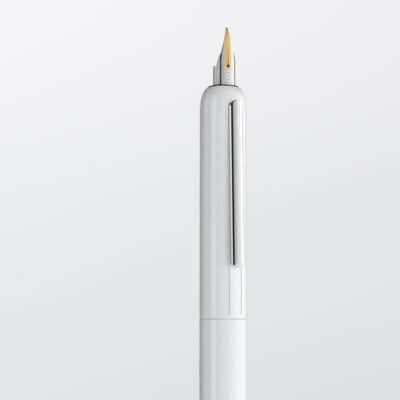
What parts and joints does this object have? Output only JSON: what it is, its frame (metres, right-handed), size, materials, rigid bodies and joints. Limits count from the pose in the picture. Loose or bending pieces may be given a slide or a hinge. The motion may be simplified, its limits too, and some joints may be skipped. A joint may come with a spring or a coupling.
{
  "type": "retractable fountain pen",
  "caption": "Slim round twist-action fountain pen with a white lacquered barrel, a sprung bar clip and a gold nib that slides out past a rolling lid.",
  "frame": {"origin": "centre of the flat rear face", "axes": "+Z along the pen axis towards the nib, clip on the -Y side"},
  "size_m": [0.013, 0.015, 0.1555],
  "materials": {
    "rear_barrel": "gloss white lacquer",
    "rear_end_disc": "polished",
    "joint_washer": "low-friction",
    "cam_sleeve": "turned",
    "take_up_spring": "drawn wire",
    "front_barrel": "gloss white lacquer",
    "mouth_ring": "polished",
    "mouth_seal": "soft",
    "bulkhead_ring": "turned",
    "guide_sleeve": "turned",
    "guide_collar": "turned",
    "thrust_ring": "low-friction",
    "nib": "polished gold, grey plated flanks",
    "nib_tipping": "ground",
    "feed": "satin",
    "nib_holder": "polished",
    "carrier_tube": "drawn",
    "carriage_head": "moulded",
    "carriage_sleeve": "drawn",
    "drive_ring": "turned",
    "ink_tube": "clear",
    "converter_band": "polished",
    "spring_cup": "pressed",
    "closure_lid": "formed sheet",
    "converter_knob": "moulded",
    "piston_rod": "turned",
    "piston": "soft",
    "clip_plate": "sprung sheet",
    "clip_bar": "polished"
  },
  "bodies": {
    "rear": {"rear_barrel": "rear_barrel", "rear_end_disc": "rear_end_disc", "joint_washer": "joint_washer", "cam_sleeve": "cam_sleeve", "take_up_spring": "take_up_spring"},
    "front": {"front_barrel": "front_barrel", "mouth_ring": "mouth_ring", "mouth_seal": "mouth_seal", "bulkhead_ring": "bulkhead_ring", "guide_sleeve": "guide_sleeve", "guide_collar": "guide_collar", "thrust_ring": "thrust_ring"},
    "nib_unit": {"nib": "nib", "nib_tipping": "nib_tipping", "feed": "feed", "nib_holder": "nib_holder", "carrier_tube": "carrier_tube", "carriage_head": "carriage_head", "carriage_sleeve": "carriage_sleeve", "drive_ring": "drive_ring", "ink_tube": "ink_tube", "converter_band": "converter_band", "spring_cup": "spring_cup"},
    "closure": {"closure_lid": "closure_lid"},
    "knob": {"converter_knob": "converter_knob"},
    "piston_unit": {"piston_rod": "piston_rod", "piston": "piston"},
    "clip_carrier": {"clip_plate": "clip_plate"},
    "clip": {"clip_bar": "clip_bar"}
  },
  "joints": [
    {"name": "twist", "type": "hinge", "parent": "rear", "child": "front", "pos_m": [0, 0, 0.0757], "axis": [0, 0, 1], "range_deg": [0, 180]},
    {"name": "nib_slide", "type": "slide", "parent": "front", "child": "nib_unit", "axis": [0, 0, -1], "range_m": [0, 0.02901], "deforming": ["take_up_spring"]},
    {"name": "closure_turn", "type": "hinge", "parent": "front", "child": "closure", "pos_m": [0, 0, 0.1325], "axis": [1, 0, 0], "range_deg": [0, 113.1]},
    {"name": "clip_follow", "type": "hinge", "parent": "front", "child": "clip_carrier", "pos_m": [0, -0.0056, 0.1265], "axis": [1, 0, 0], "range_deg": [0, 1.27]},
    {"name": "clip_lift", "type": "hinge", "parent": "clip_carrier", "child": "clip", "pos_m": [0, -0.006, 0.1324], "axis": [-1, 0, 0], "range_deg": [0, 4], "stiffness_Nm_per_rad": 0.15},
    {"name": "knob_turn", "type": "hinge", "parent": "nib_unit", "child": "knob", "pos_m": [0, 0, 0.046], "axis": [0, 0, 1], "range_deg": [0, 1441]},
    {"name": "piston_slide", "type": "slide", "parent": "nib_unit", "child": "piston_unit", "axis": [0, 0, 1], "range_m": [0, 0.019]}
  ],
  "couplings": [
    {"joint": "nib_slide", "follows": "twist", "m_per_rad": 0.009231},
    {"joint": "closure_turn", "follows": "twist", "ratio": 0.62778},
    {"joint": "clip_follow", "follows": "twist", "ratio": 0.006944},
    {"joint": "knob_turn", "follows": "piston_slide", "rad_per_m": 1322.8}
  ]
}
